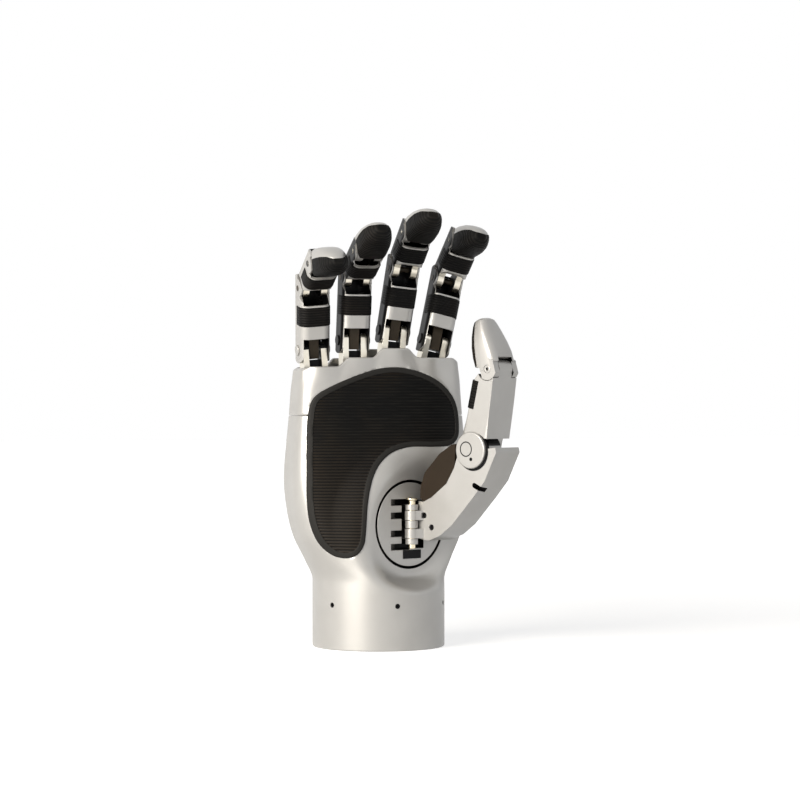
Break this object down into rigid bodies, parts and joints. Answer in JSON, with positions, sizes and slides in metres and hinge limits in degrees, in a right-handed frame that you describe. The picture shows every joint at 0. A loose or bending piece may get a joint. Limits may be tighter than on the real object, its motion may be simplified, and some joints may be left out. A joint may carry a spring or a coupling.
{
  "type": "dexterous robot hand",
  "caption": "Anthropomorphic right robot hand with satin silver shells, ribbed black grip pads, curled fingers on open linkages, a rotating opposed thumb and a round wrist flange.",
  "frame": {"origin": "centre of the wrist's round mounting face", "axes": "+Z from the wrist towards the fingers; the palm faces -Y; the thumb is on the +X side; right hand"},
  "size_m": [0.1003, 0.0948, 0.2163],
  "materials": {
    "silver_shell": "satin, fine bead-blasted and clear anodised",
    "pad_rubber": "matt black with fine cross ribs",
    "nickel_steel": "bright nickel plate, faintly warm",
    "black_metal": "black anodised, satin",
    "plain_steel": "ground"
  },
  "bodies": {
    "palm": {"palm_housing": "silver_shell", "knuckle_cover": "silver_shell", "palm_pad": "pad_rubber", "wrist_flange": "black_metal", "wrist_screws": "black_metal", "chassis": "black_metal", "actuators": "plain_steel", "rotor_bearing": "plain_steel", "connector": "plain_steel"},
    "pinky_knuckle": {"pinky_knuckle": "nickel_steel", "pinky_knuckle_pins": "plain_steel"},
    "pinky_proximal": {"pinky_proximal_shell": "silver_shell", "pinky_proximal_pad": "pad_rubber", "pinky_proximal_linkage": "black_metal"},
    "pinky_middle": {"pinky_middle_shell": "silver_shell", "pinky_middle_pad": "pad_rubber", "pinky_middle_frame": "black_metal"},
    "pinky_distal": {"pinky_distal_shell": "silver_shell", "pinky_distal_pad": "pad_rubber"},
    "ring_knuckle": {"ring_knuckle": "nickel_steel", "ring_knuckle_pins": "plain_steel"},
    "ring_proximal": {"ring_proximal_shell": "silver_shell", "ring_proximal_pad": "pad_rubber", "ring_proximal_linkage": "black_metal"},
    "ring_middle": {"ring_middle_shell": "silver_shell", "ring_middle_pad": "pad_rubber", "ring_middle_frame": "black_metal"},
    "ring_distal": {"ring_distal_shell": "silver_shell", "ring_distal_pad": "pad_rubber"},
    "middle_knuckle": {"middle_knuckle": "nickel_steel", "middle_knuckle_pins": "plain_steel"},
    "middle_proximal": {"middle_proximal_shell": "silver_shell", "middle_proximal_pad": "pad_rubber", "middle_proximal_linkage": "black_metal"},
    "middle_middle": {"middle_middle_shell": "silver_shell", "middle_middle_pad": "pad_rubber", "middle_middle_frame": "black_metal"},
    "middle_distal": {"middle_distal_shell": "silver_shell", "middle_distal_pad": "pad_rubber"},
    "index_knuckle": {"index_knuckle": "nickel_steel", "index_knuckle_pins": "plain_steel"},
    "index_proximal": {"index_proximal_shell": "silver_shell", "index_proximal_pad": "pad_rubber", "index_proximal_linkage": "black_metal"},
    "index_middle": {"index_middle_shell": "silver_shell", "index_middle_pad": "pad_rubber", "index_middle_frame": "black_metal"},
    "index_distal": {"index_distal_shell": "silver_shell", "index_distal_pad": "pad_rubber"},
    "thumb_rotor": {"thumb_rotor": "silver_shell", "thumb_swing_pin": "nickel_steel"},
    "thumb_metacarpal": {"thumb_metacarpal": "silver_shell", "thumb_metacarpal_pad": "pad_rubber", "thumb_metacarpal_pins": "black_metal"},
    "thumb_proximal": {"thumb_proximal_shell": "silver_shell", "thumb_proximal_pad": "pad_rubber", "thumb_joint_cap": "nickel_steel", "thumb_end_axle": "plain_steel"},
    "thumb_distal": {"thumb_distal_shell": "silver_shell", "thumb_distal_pad": "pad_rubber"}
  },
  "joints": [
    {"name": "pinky_spread", "type": "hinge", "parent": "palm", "child": "pinky_knuckle", "pos_m": [-0.0323, 0.002, 0.1279], "axis": [0, 1, 0], "range_deg": [-1, 5]},
    {"name": "pinky_knuckle_bend", "type": "hinge", "parent": "pinky_knuckle", "child": "pinky_proximal", "pos_m": [-0.03401, 0.002, 0.14783], "axis": [0.9963, 0, 0.0854], "range_deg": [-28.5, 65.5]},
    {"name": "pinky_middle_bend", "type": "hinge", "parent": "pinky_proximal", "child": "pinky_middle", "pos_m": [-0.03661, -0.00589, 0.17821], "axis": [0.9963, 0, 0.0854], "range_deg": [-45, 47]},
    {"name": "pinky_end_bend", "type": "hinge", "parent": "pinky_middle", "child": "pinky_distal", "pos_m": [-0.03757, -0.02484, 0.18934], "axis": [0.9963, 0, 0.0854], "range_deg": [-37, 25]},
    {"name": "ring_spread", "type": "hinge", "parent": "palm", "child": "ring_knuckle", "pos_m": [-0.0129, 0.002, 0.1325], "axis": [0, 1, 0], "range_deg": [-3, 4]},
    {"name": "ring_knuckle_bend", "type": "hinge", "parent": "ring_knuckle", "child": "ring_proximal", "pos_m": [-0.013, 0.002, 0.1525], "axis": [1, 0, 0.0052], "range_deg": [-21.5, 72.5]},
    {"name": "ring_middle_bend", "type": "hinge", "parent": "ring_proximal", "child": "ring_middle", "pos_m": [-0.01317, -0.00211, 0.18373], "axis": [1, 0, 0.0052], "range_deg": [-50, 42]},
    {"name": "ring_end_bend", "type": "hinge", "parent": "ring_middle", "child": "ring_distal", "pos_m": [-0.01323, -0.02067, 0.19555], "axis": [1, 0, 0.0052], "range_deg": [-12, 50]},
    {"name": "middle_spread", "type": "hinge", "parent": "palm", "child": "middle_knuckle", "pos_m": [0.0065, 0.002, 0.1372], "axis": [0, 1, 0], "range_deg": [-4, 3]},
    {"name": "middle_knuckle_bend", "type": "hinge", "parent": "middle_knuckle", "child": "middle_proximal", "pos_m": [0.00845, 0.002, 0.1571], "axis": [0.9952, 0, -0.0976], "range_deg": [-24.5, 69.5]},
    {"name": "middle_middle_bend", "type": "hinge", "parent": "middle_proximal", "child": "middle_middle", "pos_m": [0.01147, -0.00374, 0.18793], "axis": [0.9952, 0, -0.0976], "range_deg": [-29, 63]},
    {"name": "middle_end_bend", "type": "hinge", "parent": "middle_middle", "child": "middle_distal", "pos_m": [0.01313, -0.01773, 0.20482], "axis": [0.9952, 0, -0.0976], "range_deg": [-36, 26]},
    {"name": "index_spread", "type": "hinge", "parent": "palm", "child": "index_knuckle", "pos_m": [0.0259, 0.002, 0.1326], "axis": [0, 1, 0], "range_deg": [-4, 6]},
    {"name": "index_knuckle_bend", "type": "hinge", "parent": "index_knuckle", "child": "index_proximal", "pos_m": [0.03053, 0.002, 0.15206], "axis": [0.9728, 0, -0.2317], "range_deg": [-10, 44]},
    {"name": "index_middle_bend", "type": "hinge", "parent": "index_proximal", "child": "index_middle", "pos_m": [0.03782, 0.0042, 0.18262], "axis": [0.9728, 0, -0.2317], "range_deg": [-34, 58]},
    {"name": "index_end_bend", "type": "hinge", "parent": "index_middle", "child": "index_distal", "pos_m": [0.04223, -0.0068, 0.20116], "axis": [0.9728, 0, -0.2317], "range_deg": [-59, 3]},
    {"name": "thumb_rotation", "type": "hinge", "parent": "palm", "child": "thumb_rotor", "pos_m": [0.0104, -0.017, 0.0611], "axis": [-0.342, 0.9397, 0], "range_deg": [-15, 45]},
    {"name": "thumb_swing", "type": "hinge", "parent": "thumb_rotor", "child": "thumb_metacarpal", "pos_m": [0.01091, -0.01841, 0.0611], "axis": [0, 0, 1], "range_deg": [-40, 1]},
    {"name": "thumb_middle_bend", "type": "hinge", "parent": "thumb_metacarpal", "child": "thumb_proximal", "pos_m": [0.0389, -0.044, 0.0982], "axis": [0.8746, 0.4848, 0], "range_deg": [-34, 15]},
    {"name": "thumb_end_bend", "type": "hinge", "parent": "thumb_proximal", "child": "thumb_distal", "pos_m": [0.04348, -0.05227, 0.13758], "axis": [0.8746, 0.4848, 0], "range_deg": [-28, 28]}
  ]
}
